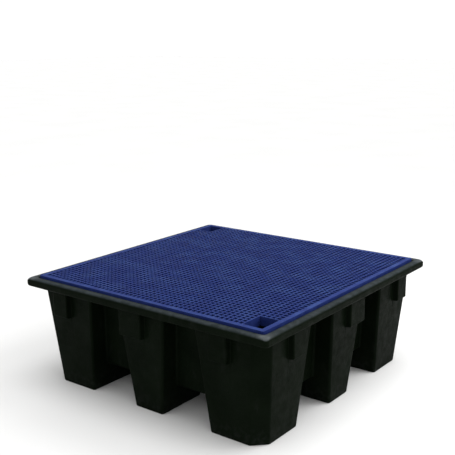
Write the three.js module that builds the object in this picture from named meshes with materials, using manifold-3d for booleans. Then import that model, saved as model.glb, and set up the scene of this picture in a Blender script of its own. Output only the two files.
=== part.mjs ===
// A four-drum spill pallet: a one-piece moulded sump that stands on nine hollow tapered legs,
// nine loose columns that stand in the legs, and the lift-out grate that the drums stand on.
// Millimetres, +Z up. The origin is on the floor, under the middle of the pallet.

import * as THREE from "three";
import { mergeVertices } from "three/addons/utils/BufferGeometryUtils.js";
import Module from "manifold-3d";

// Sump, seen from above
const SIZE = 1200;          // across the rim, both ways
const RIM_TOP = 445;        // height of the rim above the floor
const RIM_HEIGHT = 35;      // height of the rim's outer face
const RIM_CORNER = 16;      // corner radius of the rim
const RIM_NOSE = 10;        // rounding along the rim's top outer edge
const RIM_LIP = 7;          // rounding along the rim's bottom outer edge
const SEAT_CORNER = 7;      // corner radius of the grate, and of the seat that it lies in
const SEAT_EDGE = 10;       // rounding where the seat meets the rim's top
const WALL = 7;             // wall thickness of the moulding
const RIM_WIDTH = 37;       // from the rim's outer face to the wall that faces the grate
const LEDGE = 417;          // height of the ledge that carries the grate

// Legs: half sizes at the rim's underside and at the floor
const LEG_OUT = [564, 528];     // outer face of the outer legs
const LEG_IN = [261, 301];      // inner face of the corner legs
const LEG_MID = [117, 71];      // half width of the middle legs
const CORNER_CUT = 50;          // flat across each corner leg's outer edge
const LEG_ROUND = 10;           // rounding of the legs' upright edges
const FOOT_ROUND = 4;           // rounding round the foot
const LEG_PITCH = 400;          // spacing of the lugs and of the columns that stand in the legs

// Walls between the legs, and the fork channels under the sump's floor
const WEB = [489, 458];         // half distance between opposite walls, at the rim and at the channel
const CHANNEL = 100;            // height of the fork channels

// Stacking lugs, and the hollow beside each
const LUG_FACE = 576;           // distance of a lug's face from the middle
const LUG_BOTTOM = 302;
const LUG_WIDTH = { corner: 80, middle: 112 };
const LUG_SHIFT = 13;           // from a leg's middle to its lug's edge, front and back only
const HOLLOW_BOTTOM = 262;
const HOLLOW_WIDTH = 74;
const HOLLOW_DEPTH = 12;

// Grate
const GRATE_GAP = 3;            // play between grate and rim
const GRATE_TOP = 452;
const TOUCH = 0.3;              // gap between pieces that rest on each other
const BAR = 20;                 // width of the grate's border bar
const CELLS = 13;               // openings between the deep ribs, both ways
const RIB = 6;
const FINE = 4;                 // pitches of the fine mesh in one pitch of the deep ribs
const HAND_HOLE = [4, 5];       // size of a hand hole, in pitches of the fine mesh

// Columns
const POST_RADIUS = 55;
const POST_WALL = 6;
const POST_HEAD = 66;           // radius of the flange that the grate lies on
const FLANGE = 8;               // thickness of the flange
const FLANGE_CONE = 16;         // height of the cone under the flange
const POST_SIDES = 20;
const SLOT_WIDTH = 36;
const SLOT_HEIGHT = 45;

const OVERLAP = 2;              // how far solids run past each other where they are joined or cut
const ROUND_STEPS = 3;          // flats in a quarter round

const wasm = await Module();
wasm.setup();

const rimBottom = RIM_TOP - RIM_HEIGHT;
const half = SIZE / 2;
const wellHalf = half - RIM_WIDTH;

// ---------- solids ----------

// A closed three.js geometry as a solid.
function solid(geometry) {
  const bare = geometry.clone();
  bare.deleteAttribute("normal");
  bare.deleteAttribute("uv");
  const merged = mergeVertices(bare, 1e-4);
  return new wasm.Manifold(new wasm.Mesh({
    numProp: 3,
    vertProperties: Float32Array.from(merged.attributes.position.array),
    triVerts: Uint32Array.from(merged.index.array),
  }));
}

// A solid as a flat-shaded three.js geometry.
function geometryOf(body) {
  const { vertProperties, triVerts } = body.getMesh();
  const geometry = new THREE.BufferGeometry();
  geometry.setAttribute("position", new THREE.BufferAttribute(vertProperties, 3));
  geometry.setIndex(new THREE.BufferAttribute(triVerts, 1));
  const flat = geometry.toNonIndexed();
  flat.computeVertexNormals();
  return flat;
}

// A solid between outlines that have the same number of points, each at its own height.
function loft(sections) {
  const count = sections[0].outline.length;
  const position = [];
  const index = [];
  for (const { outline, z } of sections) {
    for (const point of outline) {
      position.push(point.x, point.y, z);
    }
  }
  for (let level = 0; level + 1 < sections.length; level += 1) {
    for (let i = 0; i < count; i += 1) {
      const a = level * count + i;
      const b = level * count + ((i + 1) % count);
      index.push(a, b, b + count, a, b + count, a + count);
    }
  }
  const top = (sections.length - 1) * count;
  for (const [a, b, c] of THREE.ShapeUtils.triangulateShape(sections[0].outline, [])) {
    index.push(a, c, b);
  }
  for (const [a, b, c] of THREE.ShapeUtils.triangulateShape(sections.at(-1).outline, [])) {
    index.push(top + a, top + b, top + c);
  }
  const geometry = new THREE.BufferGeometry();
  geometry.setAttribute("position", new THREE.Float32BufferAttribute(position, 3));
  geometry.setIndex(index);
  return solid(geometry);
}

function box(x0, x1, y0, y1, z0, z1) {
  const geometry = new THREE.BoxGeometry(x1 - x0, y1 - y0, z1 - z0);
  geometry.translate((x0 + x1) / 2, (y0 + y1) / 2, (z0 + z1) / 2);
  return solid(geometry);
}

// ---------- outlines ----------

// The corners of a convex outline, counterclockwise, each rounded with the same radius.
function rounded(corners, radius) {
  const points = [];
  const count = corners.length;
  for (let i = 0; i < count; i += 1) {
    const here = corners[i];
    const back = corners[(i + count - 1) % count].clone().sub(here).normalize();
    const on = corners[(i + 1) % count].clone().sub(here).normalize();
    const halfAngle = Math.acos(back.dot(on)) / 2;
    const reach = radius / Math.sin(halfAngle);
    const middle = back.clone().add(on).normalize().multiplyScalar(reach).add(here);
    const start = here.clone().addScaledVector(back, radius / Math.tan(halfAngle)).sub(middle);
    const sweep = Math.PI - 2 * halfAngle;
    for (let s = 0; s <= ROUND_STEPS; s += 1) {
      const turn = (sweep * s) / ROUND_STEPS;
      points.push(start.clone().rotateAround(new THREE.Vector2(), turn).add(middle));
    }
  }
  return points;
}

function rectangle(x0, x1, y0, y1) {
  return [[x0, y0], [x1, y0], [x1, y1], [x0, y1]].map(([x, y]) => new THREE.Vector2(x, y));
}

function square(halfSide) {
  return rectangle(-halfSide, halfSide, -halfSide, halfSide);
}

// Linear change of a leg's measure from the floor to the rim's underside.
function atHeight([upper, lower], z) {
  return lower + ((upper - lower) * z) / rimBottom;
}

// Extent of a leg along one axis: place is -1, 0 or 1.
function legSpan(place, z, inset) {
  if (place === 0) {
    const middle = atHeight(LEG_MID, z) - inset;
    return [-middle, middle];
  }
  const near = atHeight(LEG_IN, z) + inset;
  const far = atHeight(LEG_OUT, z) - inset;
  return place > 0 ? [near, far] : [-far, -near];
}

// Outline of the leg at (column, row), at height z. Corner legs lose their outer corner.
function legOutline(column, row, z, inset = 0) {
  const [x0, x1] = legSpan(column, z, inset);
  const [y0, y1] = legSpan(row, z, inset);
  const corners = [];
  for (const corner of rectangle(x0, x1, y0, y1)) {
    const outerX = column !== 0 && Math.sign(corner.x) === column && Math.abs(corner.x) > LEG_PITCH;
    const outerY = row !== 0 && Math.sign(corner.y) === row && Math.abs(corner.y) > LEG_PITCH;
    if (outerX && outerY) {
      const alongX = new THREE.Vector2(corner.x - column * CORNER_CUT, corner.y);
      const alongY = new THREE.Vector2(corner.x, corner.y - row * CORNER_CUT);
      corners.push(...(column * row > 0 ? [alongY, alongX] : [alongX, alongY]));
    } else {
      corners.push(corner);
    }
  }
  return rounded(corners, LEG_ROUND - inset);
}

// ---------- sump ----------

const PLACES = [-1, 0, 1];

function leg(column, row) {
  return loft([
    { outline: legOutline(column, row, 0, FOOT_ROUND), z: 0 },
    { outline: legOutline(column, row, FOOT_ROUND), z: FOOT_ROUND },
    { outline: legOutline(column, row, rimBottom + OVERLAP), z: rimBottom + OVERLAP },
  ]);
}

function legHollow(column, row) {
  return loft([
    { outline: legOutline(column, row, WALL, WALL), z: WALL },
    { outline: legOutline(column, row, LEDGE + OVERLAP, WALL), z: LEDGE + OVERLAP },
  ]);
}

function web(inset, z0, z1) {
  const side = (z) => {
    const share = (z - CHANNEL) / (rimBottom - CHANNEL);
    return WEB[1] + (WEB[0] - WEB[1]) * share - inset;
  };
  return loft([
    { outline: square(side(z0)), z: z0 },
    { outline: square(side(z1)), z: z1 },
  ]);
}

// Points along a quarter round: how far each lies from the corner, across and up.
function quarter(radius) {
  const points = [];
  for (let s = 0; s <= ROUND_STEPS; s += 1) {
    const angle = (s / ROUND_STEPS) * (Math.PI / 2);
    points.push({ across: radius * (1 - Math.sin(angle)), up: radius * (1 - Math.cos(angle)) });
  }
  return points;
}

function rim() {
  const lip = quarter(RIM_LIP).map(({ across, up }) => ({
    outline: rounded(square(half - across), RIM_CORNER),
    z: rimBottom + up,
  }));
  const nose = quarter(RIM_NOSE).map(({ across, up }) => ({
    outline: rounded(square(half - up), RIM_CORNER),
    z: RIM_TOP - across,
  }));
  return loft([...lip, ...nose]);
}

// The space that the grate lies in, flared where it cuts through the rim's top.
function seat() {
  const flare = quarter(SEAT_EDGE).map(({ across, up }) => ({
    outline: rounded(square(wellHalf + up), SEAT_CORNER + up),
    z: RIM_TOP - across,
  }));
  const { outline } = flare.at(-1);
  return loft([
    { outline: flare[0].outline, z: LEDGE },
    ...flare,
    { outline, z: RIM_TOP + OVERLAP },
  ]);
}

// The groove under the rim, open downwards.
function rimGroove() {
  const z0 = rimBottom - OVERLAP;
  const z1 = RIM_TOP - WALL;
  const outer = rounded(square(half - WALL), RIM_CORNER - WALL);
  const inner = rounded(square(wellHalf + WALL), SEAT_CORNER + WALL);
  const block = loft([{ outline: outer, z: z0 }, { outline: outer, z: z1 }]);
  return block.subtract(loft([
    { outline: inner, z: z0 - OVERLAP },
    { outline: inner, z: z1 + OVERLAP },
  ]));
}

// Joins what is drawn for each leg on the -Y side, mirrors it to the +X side with its lugs not
// shifted, and repeats both by half a turn.
function onAllSides(draw) {
  const row = (shift) => join(PLACES.map((column) => draw(column * LEG_PITCH + shift, column)));
  const mirrored = row(0).transform([0, -1, 0, 0, -1, 0, 0, 0, 0, 0, 1, 0, 0, 0, 0, 1]);
  const pair = row(LUG_SHIFT).add(mirrored);
  return pair.add(pair.rotate([0, 0, 180]));
}

// A lug, or its inside, to the left of its edge on the -Y side.
function lug(edge, column, inset) {
  const width = column === 0 ? LUG_WIDTH.middle : LUG_WIDTH.corner;
  const back = atHeight(LEG_OUT, LUG_BOTTOM) - LEG_ROUND;
  return box(
    edge - width + inset, edge - inset,
    -LUG_FACE + inset, -back,
    LUG_BOTTOM + inset, rimBottom - inset,
  );
}

// The hollow beside a lug, running out into the leg's face; or, with an inset, the hollow with
// the wall behind and above it.
function lugHollow(edge, inset) {
  const face = LEG_OUT[0];
  const start = edge - inset;
  const end = edge + HOLLOW_WIDTH + inset;
  const corners = [
    new THREE.Vector2(start, -LUG_FACE),
    new THREE.Vector2(end, -LUG_FACE),
    new THREE.Vector2(end, -face + inset),
    new THREE.Vector2(start, -face + HOLLOW_DEPTH + inset),
  ];
  const top = rimBottom + inset;
  return loft([{ outline: corners, z: HOLLOW_BOTTOM }, { outline: corners, z: top }]);
}

function join(solids) {
  return solids.reduce((sum, next) => sum.add(next));
}

function sump() {
  const lugs = onAllSides((edge, column) => lug(edge, column, 0));
  const lugInsides = onAllSides((edge, column) => lug(edge, column, WALL));
  const hollows = onAllSides((edge) => lugHollow(edge, 0));
  const hollowWalls = onAllSides((edge) => lugHollow(edge, WALL));
  const legs = join(PLACES.flatMap((column) => PLACES.map((row) => leg(column, row))));
  const wells = join(PLACES.flatMap((column) => PLACES.map((row) => legHollow(column, row))));

  const outside = legs
    .subtract(hollows)
    .add(lugs)
    .add(web(0, CHANNEL, rimBottom + OVERLAP))
    .add(rim());
  const inside = wells
    .subtract(hollowWalls)
    .add(lugInsides)
    .add(web(WALL, CHANNEL + WALL, LEDGE + OVERLAP))
    .add(seat());
  return geometryOf(outside.subtract(inside).subtract(rimGroove()));
}

// ---------- grate ----------

const grateHalf = wellHalf - GRATE_GAP;
const meshHalf = grateHalf - BAR;
const pitch = (2 * meshHalf) / CELLS;
const finePitch = pitch / FINE;

// A hand hole's extent from the corner of the mesh, along X and Y.
const handX = HAND_HOLE[0] * finePitch - RIB / 2;
const handY = HAND_HOLE[1] * finePitch - RIB / 2;

// One opening between deep ribs. The border bar takes the place of the rib at the edges.
function cellSpan(i) {
  const start = -meshHalf + i * pitch;
  return [i === 0 ? start : start + RIB / 2, i === CELLS - 1 ? start + pitch : start + pitch - RIB / 2];
}

function grate() {
  const bottom = LEDGE + TOUCH;
  const opening = (x0, x1, y0, y1) => box(x0, x1, y0, y1, bottom - OVERLAP, GRATE_TOP + OVERLAP);
  const handEnd = meshHalf - handY;
  const openings = [
    opening(meshHalf - handX, meshHalf, -meshHalf, -handEnd),
    opening(-meshHalf, -meshHalf + handX, handEnd, meshHalf),
  ];
  for (let i = 0; i < CELLS; i += 1) {
    for (let j = 0; j < CELLS; j += 1) {
      const [x0, x1] = cellSpan(i);
      let [y0, y1] = cellSpan(j);
      if (i === CELLS - 1) {
        y0 = Math.max(y0, -handEnd + RIB);
      }
      if (i === 0) {
        y1 = Math.min(y1, handEnd - RIB);
      }
      if (y0 < y1) {
        openings.push(opening(x0, x1, y0, y1));
      }
    }
  }
  const outline = rounded(square(grateHalf), SEAT_CORNER);
  const slab = loft([{ outline, z: bottom }, { outline, z: GRATE_TOP }]);
  return geometryOf(slab.subtract(join(openings)));
}

// ---------- columns ----------

// A length of pipe with a flange at its head and four drain slots round its foot.
function post() {
  const height = LEDGE - WALL - TOUCH;
  const bore = POST_RADIUS - POST_WALL;
  const profile = [
    [bore, 0],
    [POST_RADIUS, 0],
    [POST_RADIUS, height - FLANGE - FLANGE_CONE],
    [POST_HEAD, height - FLANGE],
    [POST_HEAD, height],
    [bore, height],
    [bore, 0],
  ].map(([r, z]) => new THREE.Vector2(r, z));
  const pipe = new THREE.LatheGeometry(profile, POST_SIDES);
  pipe.rotateX(Math.PI / 2);
  const across = box(-POST_HEAD, POST_HEAD, -SLOT_WIDTH / 2, SLOT_WIDTH / 2, -OVERLAP, SLOT_HEIGHT);
  const slots = across.add(across.rotate([0, 0, 90]));
  return geometryOf(solid(pipe).subtract(slots));
}

// ---------- assembly ----------

const blackPlastic = new THREE.MeshStandardMaterial({ color: 0x202523, roughness: 0.55, metalness: 0 });
const bluePlastic = new THREE.MeshStandardMaterial({ color: 0x34428c, roughness: 0.5, metalness: 0 });
const greyPlastic = new THREE.MeshStandardMaterial({ color: 0x3a3f42, roughness: 0.5, metalness: 0 });

const pallet = new THREE.Group();

function addPiece(name, geometry, material) {
  const mesh = new THREE.Mesh(geometry, material);
  mesh.name = name;
  pallet.add(mesh);
  return mesh;
}

addPiece("sump", sump(), blackPlastic);
addPiece("grate", grate(), bluePlastic);

const postGeometry = post();
const columnNames = { "-1": "left", 0: "middle", 1: "right" };
const rowNames = { "-1": "front", 0: "centre", 1: "back" };
for (const column of PLACES) {
  for (const row of PLACES) {
    const name = `support_post_${rowNames[row]}_${columnNames[column]}`;
    const mesh = addPiece(name, postGeometry, greyPlastic);
    mesh.position.set(column * LEG_PITCH, row * LEG_PITCH, WALL + TOUCH);
  }
}

export default pallet;
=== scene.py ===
"""A four-drum spill pallet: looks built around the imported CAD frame.

Metres, +Z up, origin on the floor under the middle.
"""

import math

import bmesh
import bpy
from mathutils import Matrix, Vector


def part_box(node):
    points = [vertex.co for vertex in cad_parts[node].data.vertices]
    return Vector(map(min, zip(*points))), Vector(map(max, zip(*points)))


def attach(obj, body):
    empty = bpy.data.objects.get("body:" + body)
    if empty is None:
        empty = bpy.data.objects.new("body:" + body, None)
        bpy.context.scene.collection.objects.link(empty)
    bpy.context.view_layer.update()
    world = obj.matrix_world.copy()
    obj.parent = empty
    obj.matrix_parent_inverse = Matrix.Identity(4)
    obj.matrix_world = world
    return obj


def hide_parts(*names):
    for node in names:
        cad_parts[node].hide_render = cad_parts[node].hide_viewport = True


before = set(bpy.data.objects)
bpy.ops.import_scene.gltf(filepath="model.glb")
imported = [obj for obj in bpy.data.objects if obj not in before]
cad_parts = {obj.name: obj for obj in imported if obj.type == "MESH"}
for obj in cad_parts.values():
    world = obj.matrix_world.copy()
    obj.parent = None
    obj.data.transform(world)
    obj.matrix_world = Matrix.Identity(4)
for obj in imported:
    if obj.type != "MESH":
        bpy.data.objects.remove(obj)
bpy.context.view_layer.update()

# ---------- sizes, from the frame ----------

_, sump_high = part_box("sump")
grate_low, grate_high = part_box("grate")
post_low, post_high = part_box("support_post_centre_middle")

HALF = sump_high.x                  # half size over the rim
RIM_TOP = sump_high.z
GRATE_HALF = grate_high.x
GRATE_TOP = grate_high.z
GRATE_BOTTOM = grate_low.z
POST_TOP = post_high.z
POST_BOTTOM = post_low.z

# Sump
WALL = 0.007                        # wall thickness of the moulding
RIM_HEIGHT = 0.035
RIM_BOTTOM = RIM_TOP - RIM_HEIGHT
RIM_CORNER = 0.016                  # corner radius of the rim
RIM_NOSE = 0.015                    # rounding along the rim's top outer edge
RIM_LIP = 0.01                      # rounding along the rim's bottom outer edge
SEAT_CORNER = 0.007                 # corner radius of the grate, and of the seat that it lies in
SEAT_EDGE = 0.01                    # rounding where the seat meets the rim's top
GRATE_GAP = 0.003                   # play between grate and rim
WELL_HALF = GRATE_HALF + GRATE_GAP
RIM_WIDTH = HALF - WELL_HALF        # from the rim's outer face to the wall that faces the grate
LEDGE = 0.417                       # height of the ledge that carries the grate
CHANNEL = 0.1                       # height of the fork channels
OVERLAP = 0.002                     # how far solids run past each other where they are joined

# Legs: half sizes at the rim's underside and at the floor
LEG_OUT = (0.564, 0.528)            # outer face of the outer legs
LEG_IN = (0.261, 0.301)             # inner face of the corner legs
LEG_MID = (0.117, 0.071)            # half width of the middle legs
WEB = (0.489, 0.458)                # half distance between opposite walls, at the rim and the channel
CORNER_CUT = 0.05                   # flat across each corner leg's outer edge
LEG_PITCH = 0.4
LEG_ROUND = 0.01
WEB_ROUND = 0.009                   # fillet where a leg meets the wall
CHANNEL_ROUND = 0.006               # rounding of the wall's bottom edge
FOOT_ROUND = 0.004
CUT_SHARE = 0.5                     # rounding along the flats, in roundings of the upright edges
FOOT_SHARE = 0.3                    # by how much of the wall the foot's rounding grows inside
STEP_BACK = 0.00003                 # keeps a leg's faces clear of the plane of those above
PLAIN_LEVELS = (0.05, 0.045, 0.012)  # wall sections: above the bottom, apart, and clear of a lug
LUG_LEVELS = (0.03, 0.027, 0.01)    # above a lug's underside, apart, and clear of the top
LUG_SEAM = 0.0005                   # from the last plain section to the lug's underside

# Stacking lugs, and the hollow beside each
LUG_FACE = 0.576
LUG_BOTTOM = 0.302
LUG_WIDTH = {-1: 0.08, 0: 0.112, 1: 0.08}
LUG_SHIFT = 0.013                   # from a leg's middle to its lug's edge, front and back only
LUG_DRAFT = 0.001
LUG_ROUND = 0.0045
HOLLOW_WIDTH = 0.074
HOLLOW_DEPTH = 0.012
HOLLOW_POINTS = (0.03, 0.2, 0.4, 0.6, 0.8, 1.0)  # in hollow widths from its deep edge
LUG_CLEARANCE = 1.3                 # of a middle leg's edges, in roundings

# Grate
BAR = 0.02                          # width of the border bar
CELLS = 52                          # openings of the fine mesh, both ways
RIB_EVERY = 4                       # fine bars from one deep rib to the next
RIB = 0.006
FINE_BAR = 0.0052
FINE_DEPTH = 0.014
HAND_HOLE = (4, 5)                  # openings that a hand hole takes, along X and Y
CORNER_BEVEL = 1.0                  # roundings, as shares of the corner radius: upright corners,
BORDER_BEVEL = 0.3                  # the border's outer edge,
MESH_BEVEL = 0.11                   # and the mesh

# Columns
POST_RADIUS = 0.055
POST_WALL = 0.006
POST_HEAD = 0.066
FLANGE = 0.008
FLANGE_CONE = 0.016
CONE_START = (0.002, 0.006)         # growth of the radius, and height, of the cone's steep first part
POST_EDGE = 0.0015                  # cut off the column's edges
POST_SIDES = 48
SLOT_WIDTH = 0.036
SLOT_HEIGHT = 0.045

PLACES = (-1, 0, 1)                 # left, middle, right, or front, middle, back
CORNERS = ((-1, -1), (1, -1), (1, 1), (-1, 1))  # around a square
SIDE_SHARE = 0.45                   # how much of a side one corner's rounding may take
SAME = 1e-6                         # points nearer than this are one
SUMP_CREASE = math.radians(38)      # edges sharper than this stay sharp
CREASE = math.radians(40)
SHARP = 1                           # edges of the mesh sharper than this, in radians, are rounded


# ---------- mesh helpers ----------

def new_object(name, mesh):
    made = bpy.data.objects.new(name, mesh)
    bpy.context.scene.collection.objects.link(made)
    return made


def object_from(name, vertices, faces):
    mesh = bpy.data.meshes.new(name)
    mesh.from_pydata(vertices, [], faces)
    mesh.update()
    return new_object(name, mesh)


def loft(name, sections):
    """A closed solid between outlines of equal length, given as (points, z), from the bottom up."""
    count = len(sections[0][0])
    vertices = [(x, y, z) for points, z in sections for x, y in points]
    faces = [tuple(range(count - 1, -1, -1))]
    for level in range(len(sections) - 1):
        for i in range(count):
            a = level * count + i
            b = level * count + (i + 1) % count
            faces.append((a, b, b + count, a + count))
    top = (len(sections) - 1) * count
    faces.append(tuple(range(top, top + count)))
    return object_from(name, vertices, faces)


def apply_modifiers(piece):
    graph = bpy.context.evaluated_depsgraph_get()
    made = bpy.data.meshes.new_from_object(piece.evaluated_get(graph))
    piece.modifiers.clear()
    old = piece.data
    piece.data = made
    bpy.data.meshes.remove(old)
    return piece


def combine(piece, others, operation):
    """Joins or cuts piece with others, which are used up."""
    for other in others:
        boolean = piece.modifiers.new("boolean", "BOOLEAN")
        boolean.operation = operation
        boolean.solver = "MANIFOLD"
        boolean.object = other
    apply_modifiers(piece)
    for other in others:
        mesh = other.data
        bpy.data.objects.remove(other)
        bpy.data.meshes.remove(mesh)
    return piece


def smooth(piece, angle):
    """Smooth shading that breaks at edges sharper than the angle, with flat faces kept flat."""
    mesh = piece.data
    work = bmesh.new()
    work.from_mesh(mesh)
    bmesh.ops.remove_doubles(work, verts=work.verts, dist=SAME)
    for face in work.faces:
        face.smooth = True
    for edge in work.edges:
        edge.smooth = edge.is_manifold and edge.calc_face_angle(0) < angle
    work.to_mesh(mesh)
    work.free()
    weighted = piece.modifiers.new("flat faces", "WEIGHTED_NORMAL")
    weighted.mode = "FACE_AREA"
    weighted.weight = 50
    weighted.keep_sharp = True
    return apply_modifiers(piece)


def finish_piece(piece, body, slot, material, *nodes):
    piece.data.materials.clear()
    piece.data.materials.append(material)
    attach(piece, body)
    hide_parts(*nodes)


# ---------- outlines ----------

def rounded(corners, reaches, steps):
    """A closed outline whose corners are rounded, each over its own reach along both sides."""
    points = []
    count = len(corners)
    for i, here in enumerate(corners):
        back = corners[i - 1] - here
        on = corners[(i + 1) % count] - here
        start = here + back.normalized() * min(reaches[i], SIDE_SHARE * back.length)
        end = here + on.normalized() * min(reaches[i], SIDE_SHARE * on.length)
        for step in range(steps + 1):
            points.append(arc_point(start, here, end, step / steps))
    return points


def arc_point(start, corner, end, t):
    """A point of the rational curve that follows a circle's arc from start to end."""
    back = start - corner
    on = end - corner
    opening = math.acos(max(-1.0, min(1.0, back.normalized().dot(on.normalized()))))
    weight = math.sin(opening / 2)
    a = (1 - t) ** 2
    b = 2 * t * (1 - t) * weight
    c = t * t
    return (start * a + corner * b + end * c) / (a + b + c)


def square(half_side, radius):
    corners = [Vector(corner) * half_side for corner in CORNERS]
    return rounded(corners, [radius] * 4, 6)


def at_height(ends, z):
    upper, lower = ends
    return lower + (upper - lower) * z / RIM_BOTTOM


def web_at(z):
    share = (z - CHANNEL) / (RIM_BOTTOM - CHANNEL)
    return WEB[1] + (WEB[0] - WEB[1]) * share


def hollow_face(distance):
    """How far out the hollow's floor lies, at a distance from its deep edge."""
    return LEG_OUT[0] - HOLLOW_DEPTH * (1 - distance / HOLLOW_WIDTH)


def lug_corners(place, mirrored, face, lug, inset, room):
    """Corners along one leg's outer face, from left to right, as (across, out, reach). Under the
    lug they draw together where the leg's face, which leaves room on both sides, is narrower."""
    edge = place * LEG_PITCH + (0 if mirrored else LUG_SHIFT)
    left = -LUG_WIDTH[place] + inset
    lug_out = max(face, face + lug)
    found = [
        (left - LUG_DRAFT, face, LUG_ROUND),
        (left + LUG_DRAFT, lug_out, LUG_ROUND),
        (-inset - LUG_DRAFT, lug_out, LUG_ROUND),
    ]
    for share in HOLLOW_POINTS:
        across = share * HOLLOW_WIDTH
        floor = hollow_face(across) - inset
        found.append((across + inset, min(face, floor), LUG_ROUND))
    widest = max(abs(across) for across, _, _ in found)
    squeeze = min(1.0, room / widest) if lug == 0 else 1.0
    found = [(across * squeeze, out, reach) for across, out, reach in found]
    if mirrored:
        found = [(-across, out, reach) for across, out, reach in reversed(found)]
    return [(edge + across, out, reach) for across, out, reach in found]


def wall_outline(z, lug, inset=0.0, tuck=0.0):
    """The outline of the sump's wall and legs at height z. The lugs stand out by lug, and the
    wall between the legs is drawn in by tuck."""
    out = at_height(LEG_OUT, z) - inset
    near = at_height(LEG_IN, z) + inset
    middle = at_height(LEG_MID, z) - inset
    web = web_at(z) - inset - tuck
    convex = LEG_ROUND - inset
    concave = WEB_ROUND + inset
    flat = CUT_SHARE * convex
    corner_room = min(out - CORNER_CUT - LEG_PITCH, LEG_PITCH - near - convex) - flat - LUG_SHIFT
    rooms = (corner_room, middle - LUG_CLEARANCE * convex - LUG_SHIFT, corner_room)
    corners, reaches = [], []
    for side in range(4):
        mirrored = side % 2 == 1
        left, centre, right = (
            lug_corners(place, mirrored, out, lug, inset, room)
            for place, room in zip(PLACES, rooms)
        )
        row = [
            (-(out - CORNER_CUT), out, flat),
            *left,
            (-near, out, convex),
            (-near, web, concave),
            (-middle, web, concave),
            (-middle, out, convex),
            *centre,
            (middle, out, convex),
            (middle, web, concave),
            (near, web, concave),
            (near, out, convex),
            *right,
            (out - CORNER_CUT, out, flat),
        ]
        turn = Matrix.Rotation(side * math.pi / 2, 2)
        corners += [turn @ Vector((across, -distance)) for across, distance, _ in row]
        reaches += [reach for _, _, reach in row]
    return rounded(corners, reaches, 4)


def leg_outline(column, row, z, inset):
    """The outline of one leg below the wall. Corner legs lose their outer corner."""
    corners, reaches = [], []
    spans = []
    for place in (column, row):
        if place == 0:
            middle = at_height(LEG_MID, z) - inset
            spans.append((-middle, middle))
        else:
            near = at_height(LEG_IN, z) + inset
            far = at_height(LEG_OUT, z) - inset
            spans.append((near, far) if place > 0 else (-far, -near))
    (x0, x1), (y0, y1) = spans
    for x, y in ((x0, y0), (x1, y0), (x1, y1), (x0, y1)):
        outer = x * column > LEG_PITCH and y * row > LEG_PITCH
        if outer:
            along_x = Vector((x - column * CORNER_CUT, y))
            along_y = Vector((x, y - row * CORNER_CUT))
            corners += [along_y, along_x] if column * row > 0 else [along_x, along_y]
            reaches += [CUT_SHARE * (LEG_ROUND - inset)] * 2
        else:
            corners.append(Vector((x, y)))
            reaches.append(LEG_ROUND - inset)
    return rounded(corners, reaches, 4)


# ---------- sump ----------

def quarter(radius, steps):
    """(inset, rise) along a quarter round, from a level face up to an upright one."""
    for step in range(steps + 1):
        angle = step / steps * math.pi / 2
        yield radius * (1 - math.sin(angle)), radius * (1 - math.cos(angle))


def heights_between(levels, start, end):
    """Heights between start and end, for levels given as (first, apart, clear of the end)."""
    first, apart, clear = levels
    z = start + first
    while z < end - clear:
        yield z
        z += apart


def wall_solid(name, inset, bottom, top):
    """The wall, the upper legs and the lugs, as one solid from bottom to top."""
    lug_start = LUG_BOTTOM + inset
    sections = []

    def add(z, back=None, tuck=0.0):
        """Adds a section: plain without back, or with lugs whose faces are set back."""
        lug = 0 if back is None else LUG_FACE - at_height(LEG_OUT, z) - back
        sections.append((wall_outline(z, lug, inset, tuck), z))

    for tuck, rise in quarter(CHANNEL_ROUND + inset, 4):
        add(bottom + rise, tuck=tuck)
    for z in heights_between(PLAIN_LEVELS, bottom, lug_start):
        add(z)
    add(lug_start - LUG_SEAM)
    for back, rise in quarter(LUG_ROUND, 4):
        add(lug_start + rise, back)
    for z in heights_between(LUG_LEVELS, lug_start, top):
        add(z, 0)
    add(top, 0)
    return loft(name, sections)


def leg_solid(column, row, inset, bottom, top):
    """A leg below the wall, from its rounded foot up."""
    radius = FOOT_ROUND + FOOT_SHARE * inset
    sections = []
    for back, rise in quarter(radius, 4):
        z = bottom + rise
        sections.append((leg_outline(column, row, z, inset + back), z))
    sections.append((leg_outline(column, row, top, inset), top))
    return loft("leg", sections)


def rim_solid():
    """The rim as a full slab, rounded along both outer edges."""
    sections = []
    for back, rise in quarter(RIM_LIP, 5):
        sections.append((square(HALF - back, RIM_CORNER), RIM_BOTTOM + rise))
    for back, rise in quarter(RIM_NOSE, 6):
        down = RIM_NOSE - back
        sections.append((square(HALF - rise, RIM_CORNER), RIM_TOP - RIM_NOSE + down))
    return loft("rim", sections)


def groove_solid():
    """The space inside the rim, which is open below."""
    bottom = RIM_BOTTOM - OVERLAP
    top = RIM_TOP - WALL
    outer = square(HALF - WALL, RIM_CORNER - WALL)
    inner = square(WELL_HALF + WALL, SEAT_CORNER + WALL)
    block = loft("groove", [(outer, bottom), (outer, top)])
    hole = loft("hole", [(inner, bottom - OVERLAP), (inner, top + OVERLAP)])
    return combine(block, [hole], "DIFFERENCE")


def seat_solid():
    """The space that the grate lies in, flared where it cuts through the rim's top."""
    sections = [(square(WELL_HALF, SEAT_CORNER), LEDGE)]
    for back, rise in quarter(SEAT_EDGE, 4):
        sections.append((square(WELL_HALF + rise, SEAT_CORNER + rise), RIM_TOP - back))
    beyond = WELL_HALF + 2 * SEAT_EDGE
    sections.append((square(beyond, SEAT_CORNER + 2 * SEAT_EDGE), RIM_TOP + 2 * SEAT_EDGE))
    return loft("seat", sections)


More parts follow.
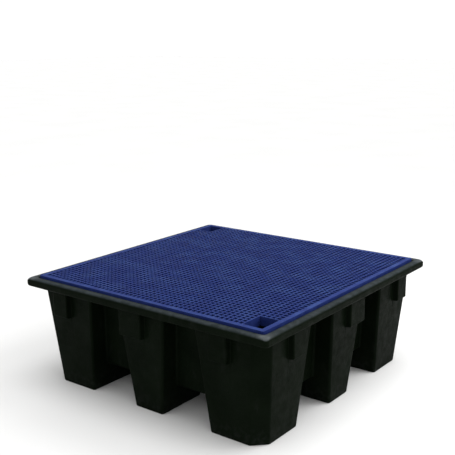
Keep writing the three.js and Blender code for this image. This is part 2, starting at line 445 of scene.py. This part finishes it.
def build_sump():
    floor = CHANNEL + WALL
    outside = wall_solid("sump_skin", 0.0, CHANNEL, RIM_BOTTOM + OVERLAP)
    legs = [
        leg_solid(column, row, STEP_BACK, 0.0, CHANNEL + OVERLAP)
        for column in PLACES for row in PLACES
    ]
    combine(outside, legs + [rim_solid()], "UNION")
    inside = wall_solid("inside", WALL, floor, LEDGE + OVERLAP)
    wells = [
        leg_solid(column, row, WALL + STEP_BACK, WALL, floor + OVERLAP)
        for column in PLACES for row in PLACES
    ]
    combine(inside, wells + [seat_solid()], "UNION")
    combine(outside, [inside, groove_solid()], "DIFFERENCE")
    return smooth(outside, SUMP_CREASE)


# ---------- grate ----------

def bar_lines():
    """Edges of the mesh's bars along one axis, and for each stretch between two edges whether it is
    an opening, a fine bar or deep. Stretch 2 i + 1 is opening i."""
    mesh_half = GRATE_HALF - BAR
    pitch = 2 * mesh_half / CELLS
    lines, kinds = [-GRATE_HALF, -mesh_half], ["deep"]
    for bar in range(1, CELLS):
        middle = -mesh_half + bar * pitch
        deep = bar % RIB_EVERY == 0
        width = RIB if deep else FINE_BAR
        lines += [middle - width / 2, middle + width / 2]
        kinds += ["open", "deep" if deep else "fine"]
    lines += [mesh_half, GRATE_HALF]
    kinds += ["open", "deep"]
    return lines, kinds


def hand_hole(i, j):
    """Whether the stretch (i, j) is in the hand hole at +X, -Y, in its wall, or in neither."""
    last = 2 * CELLS
    left = last - 2 * HAND_HOLE[0]
    top = 2 * HAND_HOLE[1]
    if left < i < last and 0 < j < top:
        return "hole"
    if (i == left and 0 < j <= top) or (j == top and left <= i < last):
        return "wall"
    return None


def build_grate():
    lines, kinds = bar_lines()
    count = len(kinds)
    heights = [GRATE_BOTTOM, GRATE_TOP - FINE_DEPTH, GRATE_TOP]

    def filled(i, j, level):
        if not (0 <= i < count and 0 <= j < count and 0 <= level < 2):
            return False
        part = hand_hole(i, j) or hand_hole(count - 1 - i, count - 1 - j)
        if part:
            return part == "wall"
        if level == 0:
            return "deep" in (kinds[i], kinds[j])
        return kinds[i] != "open" or kinds[j] != "open"

    work = bmesh.new()
    made = {}

    def vertex(i, j, level):
        key = (i, j, level)
        if key not in made:
            made[key] = work.verts.new((lines[i], lines[j], heights[level]))
        return made[key]

    for i in range(count):
        for j in range(count):
            for level in range(2):
                if not filled(i, j, level):
                    continue
                a, b, c, d = (i, j), (i + 1, j), (i + 1, j + 1), (i, j + 1)
                low = [vertex(*corner, level) for corner in (a, b, c, d)]
                high = [vertex(*corner, level + 1) for corner in (a, b, c, d)]
                if not filled(i, j, level + 1):
                    work.faces.new(high)
                if not filled(i, j, level - 1):
                    work.faces.new(low[::-1])
                beyond = ((i, j - 1), (i + 1, j), (i, j + 1), (i - 1, j))
                for k, (p, q) in enumerate(beyond):
                    if not filled(p, q, level):
                        after = (k + 1) % 4
                        work.faces.new((low[k], low[after], high[after], high[k]))
    mark_grate_edges(work)
    mesh = bpy.data.meshes.new("grate_mesh")
    work.to_mesh(mesh)
    work.free()
    grate = new_object("grate_mesh", mesh)
    bevel = grate.modifiers.new("edges", "BEVEL")
    bevel.limit_method = "WEIGHT"
    bevel.width = SEAT_CORNER
    bevel.segments = 3
    bevel.use_clamp_overlap = False
    apply_modifiers(grate)
    return smooth(grate, CREASE)


def mark_grate_edges(work):
    """Bevel weights: the four upright corners fully, the border's outer edge less, the mesh least."""
    weight = work.edges.layers.float.new("bevel_weight_edge")
    for edge in work.edges:
        ends = [vert.co for vert in edge.verts]
        outside = [
            all(abs(abs(end[axis]) - GRATE_HALF) < SAME for end in ends) for axis in (0, 1)
        ]
        on_top = all(abs(end.z - GRATE_TOP) < SAME for end in ends)
        sharp = edge.is_manifold and edge.calc_face_angle(0) > SHARP
        if all(outside):
            edge[weight] = CORNER_BEVEL
        elif on_top and sharp:
            edge[weight] = BORDER_BEVEL if any(outside) else MESH_BEVEL


# ---------- columns ----------

def build_post():
    """A column with its foot's middle at the origin: a pipe, flanged on top and slotted at the foot."""
    height = POST_TOP - POST_BOTTOM
    bore = POST_RADIUS - POST_WALL
    neck = height - FLANGE - FLANGE_CONE
    growth, rise = CONE_START
    profile = [
        (bore, POST_EDGE),
        (bore + POST_EDGE, 0.0),
        (POST_RADIUS - POST_EDGE, 0.0),
        (POST_RADIUS, POST_EDGE),
        (POST_RADIUS, neck),
        (POST_RADIUS + growth, neck + rise),
        (POST_HEAD, height - FLANGE),
        (POST_HEAD, height - POST_EDGE),
        (POST_HEAD - POST_EDGE, height),
        (bore + POST_EDGE, height),
        (bore, height - POST_EDGE),
    ]
    vertices, faces = [], []
    for side in range(POST_SIDES):
        angle = 2 * math.pi * side / POST_SIDES
        vertices += [(r * math.cos(angle), r * math.sin(angle), z) for r, z in profile]
    count = len(profile)
    for side in range(POST_SIDES):
        here = side * count
        beyond = (side + 1) % POST_SIDES * count
        for i in range(count):
            after = (i + 1) % count
            faces.append((here + i, beyond + i, beyond + after, here + after))
    post = object_from("column", vertices, faces)
    outline = [(x * POST_HEAD, y * SLOT_WIDTH / 2) for x, y in CORNERS]
    slots = []
    for turn in (0, math.pi / 2):
        slot = loft("slot", [(outline, -OVERLAP), (outline, SLOT_HEIGHT)])
        slot.data.transform(Matrix.Rotation(turn, 4, "Z"))
        slots.append(slot)
    combine(post, slots, "DIFFERENCE")
    return smooth(post, CREASE)


# ---------- materials ----------

# Colours in linear light. A pair is what a mottled surface varies between.
BLACK = ((0.0017, 0.0036, 0.0014), (0.003, 0.0055, 0.0026))
SCUFFED_BLACK = (0.009, 0.011, 0.009)
# dust on top faces, and the colour of the painted highlight along the rim's outer edge
DUST_AND_HIGHLIGHT_BLACK = (0.042, 0.051, 0.057)
# painted highlight at the rim's corners
CORNER_HIGHLIGHT_BLACK = (0.115, 0.125, 0.13)
BLUE = ((0.0125, 0.0235, 0.122), (0.0185, 0.033, 0.149))
RUBBED_BLUE = (0.042, 0.08, 0.235)
GREY = ((0.03, 0.032, 0.034), (0.055, 0.058, 0.06))
FLOOR_WHITE = ((0.79, 0.79, 0.785), (0.81, 0.81, 0.805))

BLACK_GLOSS = 0.018                 # specular level
BLUE_GLOSS = 0.04
GRIME_HEIGHT = 0.09                 # how far up the feet are grimy
CORNER_HIGHLIGHT_REACH = 2 * RIM_WIDTH         # how far in from the rim's corners the painted highlight starts


class Nodes:
    """A material's node tree, with short calls that add and join nodes."""

    def __init__(self, name):
        self.material = bpy.data.materials.new(name)
        self.material.use_nodes = True
        self.tree = self.material.node_tree
        self.shader = self.tree.nodes["Principled BSDF"]
        coordinates = self.tree.nodes.new("ShaderNodeTexCoord")
        self.place = coordinates.outputs["Object"]

    def join(self, output, socket):
        self.tree.links.new(output, socket)

    def noise(self, scale, detail=4.0, stretch=(1, 1, 1)):
        mapping = self.tree.nodes.new("ShaderNodeMapping")
        mapping.inputs["Scale"].default_value = stretch
        self.join(self.place, mapping.inputs["Vector"])
        node = self.tree.nodes.new("ShaderNodeTexNoise")
        node.inputs["Scale"].default_value = scale
        node.inputs["Detail"].default_value = detail
        self.join(mapping.outputs["Vector"], node.inputs["Vector"])
        return node.outputs["Fac"]

    def remap(self, value, low, high, out_low, out_high):
        node = self.tree.nodes.new("ShaderNodeMapRange")
        node.interpolation_type = "SMOOTHSTEP"
        ends = {"From Min": low, "From Max": high, "To Min": out_low, "To Max": out_high}
        for socket, number in ends.items():
            node.inputs[socket].default_value = number
        self.join(value, node.inputs["Value"])
        return node.outputs["Result"]

    def calculate(self, operation, a, b):
        node = self.tree.nodes.new("ShaderNodeMath")
        node.operation = operation
        for socket, value in zip(node.inputs, (a, b)):
            if isinstance(value, (int, float)):
                socket.default_value = value
            else:
                self.join(value, socket)
        return node.outputs[0]

    def multiply(self, a, b):
        return self.calculate("MULTIPLY", a, b)

    def mix(self, share, a, b):
        node = self.tree.nodes.new("ShaderNodeMix")
        node.data_type = "RGBA"
        self.join(share, node.inputs["Factor"])
        for socket, value in ((node.inputs[6], a), (node.inputs[7], b)):
            if isinstance(value, tuple):
                socket.default_value = (*value, 1)
            else:
                self.join(value, socket)
        return node.outputs[2]

    def split(self, vector):
        node = self.tree.nodes.new("ShaderNodeSeparateXYZ")
        self.join(vector, node.inputs["Vector"])
        return node.outputs

    def facing_up(self, low, high):
        """1 on surfaces that face up, 0 on upright ones."""
        geometry = self.tree.nodes.new("ShaderNodeNewGeometry")
        return self.remap(self.split(geometry.outputs["Normal"])["Z"], low, high, 0, 1)

    def from_middle(self):
        """How far a point lies from the middle planes: the larger and the smaller of |x| and |y|."""
        place = self.split(self.place)
        x = self.calculate("ABSOLUTE", place["X"], 0)
        y = self.calculate("ABSOLUTE", place["Y"], 0)
        return self.calculate("MAXIMUM", x, y), self.calculate("MINIMUM", x, y)

    def low_down(self, height):
        """1 at the floor, 0 above the height."""
        return self.remap(self.split(self.place)["Z"], 0, height, 1, 0)

    def finish(self, color, roughness, layers, gloss=None):
        """Joins the shader's inputs. Bump layers are (height, distance in metres)."""
        self.join(color, self.shader.inputs["Base Color"])
        self.join(roughness, self.shader.inputs["Roughness"])
        if gloss is not None:
            self.shader.inputs["Specular IOR Level"].default_value = gloss
        normal = None
        for height, distance in layers:
            node = self.tree.nodes.new("ShaderNodeBump")
            node.inputs["Distance"].default_value = distance
            self.join(height, node.inputs["Height"])
            if normal is not None:
                self.join(normal, node.inputs["Normal"])
            normal = node.outputs["Normal"]
        self.join(normal, self.shader.inputs["Normal"])
        return self.material


def black_polyethylene():
    """Rotationally moulded polyethylene: a fine pebbled skin, slow waves, pale scuffs, grimy feet,
    a dusty top, and a painted highlight that grows toward the rim's outer edge and brightens its
    corners."""
    nodes = Nodes("black_polyethylene")
    mottle = nodes.noise(38.0, 5)
    color = nodes.mix(nodes.remap(nodes.noise(5.0, 3), 0.35, 0.65, 0, 1), *BLACK)

    scuffs = nodes.remap(nodes.noise(26.0, 6, (1, 1, 0.35)), 0.6, 0.72, 0, 1)
    patches = nodes.remap(nodes.noise(55.0, 6), 0.45, 0.62, 0, 0.8)
    grime = nodes.multiply(nodes.low_down(GRIME_HEIGHT), patches)
    dirt = nodes.calculate("MAXIMUM", nodes.multiply(scuffs, 0.35), grime)
    color = nodes.mix(dirt, color, SCUFFED_BLACK)

    further, nearer = nodes.from_middle()
    outer_edge = HALF - RIM_NOSE
    dust_and_highlight = nodes.multiply(nodes.facing_up(0.45, 0.95), nodes.remap(mottle, 0.3, 0.7, 0.4, 0.8))
    # Painted highlight: the dusty top lightens toward the rim's outer edge and stays darker toward the
    # grate.
    dust_and_highlight = nodes.multiply(dust_and_highlight, nodes.remap(further, HALF - RIM_WIDTH, outer_edge, 0.5, 1))
    color = nodes.mix(dust_and_highlight, color, DUST_AND_HIGHLIGHT_BLACK)
    # Painted highlight at the rim's corners, laid over the dust.
    corner = nodes.remap(nearer, HALF - CORNER_HIGHLIGHT_REACH, outer_edge, 0, 0.9)
    color = nodes.mix(nodes.multiply(dust_and_highlight, corner), color, CORNER_HIGHLIGHT_BLACK)

    roughness = nodes.remap(mottle, 0.3, 0.7, 0.42, 0.58)
    roughness = nodes.calculate("ADD", roughness, nodes.multiply(scuffs, 0.12))
    waves = (nodes.noise(7.0, 1), 0.006)
    pebbles = (nodes.noise(190.0, 3), 0.0009)
    grain = (nodes.noise(620.0, 2), 0.0003)
    return nodes.finish(color, roughness, [waves, pebbles, grain], BLACK_GLOSS)


def blue_plastic():
    """Injection-moulded plastic: violet blue, slightly chalky, with rubbed tops."""
    nodes = Nodes("blue_plastic")
    mottle = nodes.noise(30.0, 5)
    color = nodes.mix(nodes.remap(mottle, 0.3, 0.7, 0, 1), *BLUE)
    patches = nodes.remap(nodes.noise(11.0, 6), 0.4, 0.7, 0.05, 0.5)
    color = nodes.mix(nodes.multiply(nodes.facing_up(0.3, 0.9), patches), color, RUBBED_BLUE)
    roughness = nodes.remap(mottle, 0.25, 0.75, 0.5, 0.68)
    waves = (nodes.noise(8.0, 1), 0.002)
    grain = (nodes.noise(320.0, 3), 0.0003)
    return nodes.finish(color, roughness, [waves, grain], BLUE_GLOSS)


def grey_plastic():
    """Extruded recycled plastic: dark grey with faint lines along the pipe."""
    nodes = Nodes("grey_plastic")
    lines = nodes.noise(150.0, 3, (1, 1, 0.03))
    color = nodes.mix(nodes.remap(nodes.noise(20.0, 5), 0.3, 0.7, 0, 1), *GREY)
    roughness = nodes.remap(lines, 0.3, 0.7, 0.42, 0.6)
    grain = (nodes.noise(400.0, 2), 0.0002)
    return nodes.finish(color, roughness, [(lines, 0.0008), grain])


def pale_floor():
    """A dull white studio floor."""
    nodes = Nodes("pale_floor")
    color = nodes.mix(nodes.remap(nodes.noise(1.5, 3), 0.3, 0.7, 0, 1), *FLOOR_WHITE)
    nodes.join(color, nodes.shader.inputs["Base Color"])
    nodes.shader.inputs["Roughness"].default_value = 0.9
    nodes.shader.inputs["Specular IOR Level"].default_value = 0.0
    return nodes.material


# ---------- the object ----------

def build_object():
    finish_piece(build_sump(), "base", "black_polyethylene", black_polyethylene(), "sump")
    finish_piece(build_grate(), "deck", "blue_grate", blue_plastic(), "grate")
    grey = grey_plastic()
    model = build_post()
    posts = [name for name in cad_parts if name.startswith("support_post")]
    for name in posts:
        low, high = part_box(name)
        column = new_object(name.replace("support_post", "column"), model.data)
        column.location = ((low.x + high.x) / 2, (low.y + high.y) / 2, low.z)
        finish_piece(column, "base", "grey_column", grey, name)
    bpy.data.objects.remove(model)


# ---------- floor, light and camera ----------

WALL_LIGHT = 1.03                   # brightness of the studio near the horizon
SKY_LIGHT = 0.76                    # and overhead
FADE = (0.03, 0.2)                  # height in the sky where one gives way to the other
FLOOR_REACH = 40
CAMERA_PLACE = (2.0223, -2.6482, 1.4033)
CAMERA_YAW = 0.6563
CAMERA_DOWN = 0.2307
CAMERA_ROLL = -0.0097
CAMERA_LENS = 64.959                # on a 36 mm sensor


def make_floor():
    vertices = [(x * FLOOR_REACH, y * FLOOR_REACH, 0) for x, y in CORNERS]
    floor = object_from("floor", vertices, [(0, 1, 2, 3)])
    floor.data.materials.append(pale_floor())


def sun(name, toward, strength, spread):
    """A distant light in the direction toward, as soft as its spread in degrees is wide."""
    lamp = bpy.data.lights.new(name, "SUN")
    lamp.energy = strength
    lamp.angle = math.radians(spread)
    made = new_object(name, lamp)
    made.rotation_euler = Vector(toward).to_track_quat("Z", "Y").to_euler()


def soft_box(name, place, toward, size, power):
    """A square area light at place that shines toward a point."""
    lamp = bpy.data.lights.new(name, "AREA")
    lamp.shape = "SQUARE"
    lamp.size = size
    lamp.energy = power
    made = new_object(name, lamp)
    made.location = place
    made.rotation_euler = (Vector(place) - Vector(toward)).to_track_quat("Z", "Y").to_euler()


def make_world():
    """White light from all round."""
    world = bpy.data.worlds.new("studio")
    world.use_nodes = True
    tree = world.node_tree
    background = tree.nodes["Background"]
    coordinates = tree.nodes.new("ShaderNodeTexCoord")
    split = tree.nodes.new("ShaderNodeSeparateXYZ")
    fade = tree.nodes.new("ShaderNodeMapRange")
    fade.interpolation_type = "SMOOTHSTEP"
    low, high = FADE
    ends = {"From Min": low, "From Max": high, "To Min": WALL_LIGHT, "To Max": SKY_LIGHT}
    for socket, number in ends.items():
        fade.inputs[socket].default_value = number
    tree.links.new(coordinates.outputs["Generated"], split.inputs["Vector"])
    tree.links.new(split.outputs["Z"], fade.inputs["Value"])
    tree.links.new(fade.outputs["Result"], background.inputs["Strength"])
    background.inputs["Color"].default_value = (1.0, 1.0, 1.0, 1)
    bpy.context.scene.world = world


def make_camera():
    camera = bpy.data.cameras.new("camera")
    camera.lens = CAMERA_LENS
    camera.sensor_width = 36
    made = new_object("camera", camera)
    made.location = CAMERA_PLACE
    yaw = Matrix.Rotation(CAMERA_YAW, 3, "Z")
    tilt = Matrix.Rotation(math.pi / 2 - CAMERA_DOWN, 3, "X")
    roll = Matrix.Rotation(CAMERA_ROLL, 3, "Z")
    made.rotation_euler = (yaw @ tilt @ roll).to_euler()
    bpy.context.scene.camera = made


build_object()
make_floor()
make_world()
sun("overhead", toward=(0.1, 0.0, 1.0), strength=1.35, spread=40)
sun("side", toward=(1.0, 0.3, 0.5), strength=0.45, spread=60)
soft_box("key", place=(1.5, 0.9, 2.4), toward=(0.3, 0.1, 0.4), size=1.2, power=30)
make_camera()
bpy.context.scene.view_settings.view_transform = "Standard"
